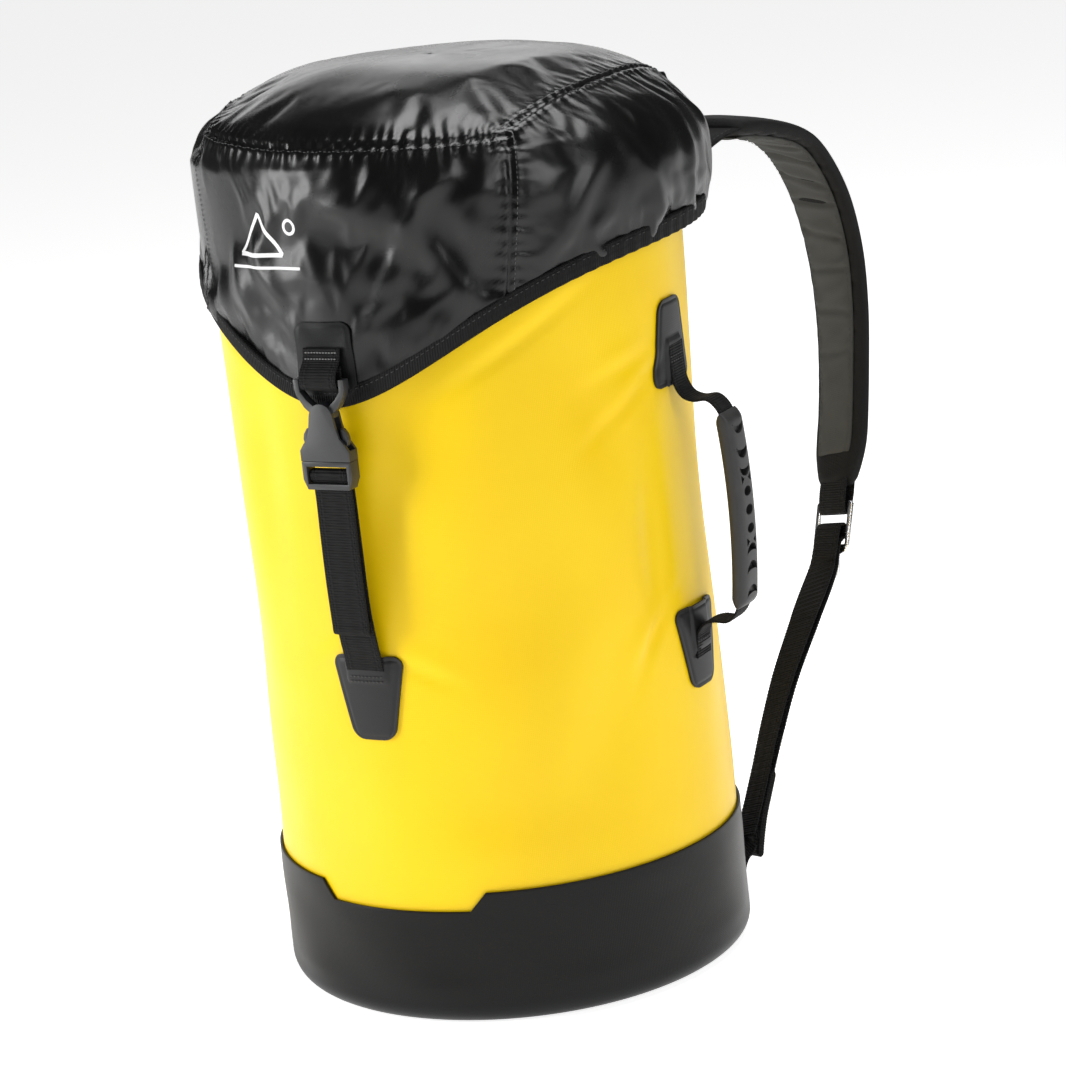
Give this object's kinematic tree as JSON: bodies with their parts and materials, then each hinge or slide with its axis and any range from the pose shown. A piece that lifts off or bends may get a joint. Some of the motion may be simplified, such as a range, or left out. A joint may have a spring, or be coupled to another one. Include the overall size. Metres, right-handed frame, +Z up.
{
  "type": "rope storage bag",
  "caption": "Tall round tarpaulin rope bag with a buckled lid, welded base, side carrying handle, haul loop and two padded shoulder straps.",
  "frame": {"origin": "middle of the flat base, on the floor", "axes": "+Z up, the front with the buckle faces -Y, the side handle is at +X, the shoulder straps are at +Y"},
  "size_m": [0.3296, 0.514, 0.547],
  "materials": {
    "yellow_tarp": "satin, coated",
    "lid_cloth": "glossy, coated",
    "base_cloth": "satin, coated",
    "patch": "satin, welded",
    "webbing": "matte, woven",
    "lining": "matte, woven",
    "foam": "matte, padded",
    "buckle": "satin",
    "grip": "matte, moulded",
    "steel": "polished"
  },
  "bodies": {
    "bag": {"body_tube": "yellow_tarp", "base_side": "base_cloth", "base_disc": "base_cloth", "rim_tape": "webbing", "closure_collar": "lining", "lid_hinge_strip": "base_cloth", "front_patch": "patch", "handle_patch_upper": "patch", "handle_patch_lower": "patch", "handle_anchor_upper": "webbing", "handle_anchor_lower": "webbing", "back_yoke": "base_cloth", "shoulder_sewn_end_right": "webbing", "base_strap_foot_right": "webbing", "base_anchor_right": "patch", "shoulder_sewn_end_left": "webbing", "base_strap_foot_left": "webbing", "base_anchor_left": "patch"},
    "lid": {"lid_front": "lid_cloth", "lid_back": "lid_cloth", "lid_side_right": "lid_cloth", "lid_side_left": "lid_cloth", "lid_crown": "lid_cloth", "lid_hem_tape": "webbing", "lid_patch": "patch", "lid_tab": "webbing"},
    "socket": {"buckle_socket": "buckle"},
    "front_strap": {"front_strap": "webbing", "buckle_clip": "buckle"},
    "latch_right": {"buckle_latch_right": "buckle"},
    "latch_left": {"buckle_latch_left": "buckle"},
    "side_handle": {"handle_webbing": "webbing", "handle_grip": "grip"},
    "haul_loop": {"haul_loop": "webbing"},
    "shoulder_right": {"shoulder_top_web_right": "webbing", "shoulder_pad_right": "foam", "shoulder_facing_right": "lining", "adjuster_tab_right": "webbing", "strap_adjuster_right": "steel", "lower_webbing_right": "webbing"},
    "shoulder_left": {"shoulder_top_web_left": "webbing", "shoulder_pad_left": "foam", "shoulder_facing_left": "lining", "adjuster_tab_left": "webbing", "strap_adjuster_left": "steel", "lower_webbing_left": "webbing"}
  },
  "joints": [
    {"name": "lid_hinge", "type": "hinge", "parent": "bag", "child": "lid", "pos_m": [0, 0.1445, 0.4475], "axis": [-1, 0, 0], "range_deg": [0, 80]},
    {"name": "socket_swing", "type": "hinge", "parent": "lid", "child": "socket", "pos_m": [0, -0.1545, 0.388], "axis": [-1, 0, 0], "range_deg": [0, 74]},
    {"name": "front_strap_swing", "type": "hinge", "parent": "bag", "child": "front_strap", "pos_m": [0, -0.1432, 0.217], "axis": [1, 0, 0], "range_deg": [0, 75]},
    {"name": "latch_left_press", "type": "hinge", "parent": "front_strap", "child": "latch_left", "pos_m": [-0.0107, -0.1545, 0.3442], "axis": [0, 1, 0], "range_deg": [0, 6], "stiffness_Nm_per_rad": 0.4},
    {"name": "latch_right_press", "type": "hinge", "parent": "front_strap", "child": "latch_right", "pos_m": [0.0107, -0.1545, 0.3442], "axis": [0, -1, 0], "range_deg": [0, 6], "stiffness_Nm_per_rad": 0.4},
    {"name": "side_handle_swing", "type": "hinge", "parent": "bag", "child": "side_handle", "pos_m": [0.149, 0, 0.28], "axis": [0, 0, 1], "range_deg": [-20, 20]},
    {"name": "haul_loop_swing", "type": "hinge", "parent": "bag", "child": "haul_loop", "pos_m": [0, 0.13, 0.4064], "axis": [1, 0, 0], "range_deg": [0, 90]},
    {"name": "shoulder_right_swing", "type": "hinge", "parent": "bag", "child": "shoulder_right", "pos_m": [0.0435, 0.137, 0.419], "axis": [0.1567, -0.0848, -0.984], "range_deg": [0, 25]},
    {"name": "shoulder_left_swing", "type": "hinge", "parent": "bag", "child": "shoulder_left", "pos_m": [-0.0435, 0.137, 0.419], "axis": [0.1567, 0.0848, 0.984], "range_deg": [0, 25]}
  ],
  "couplings": [
    {"joint": "latch_right_press", "follows": "latch_left_press", "ratio": 1}
  ]
}
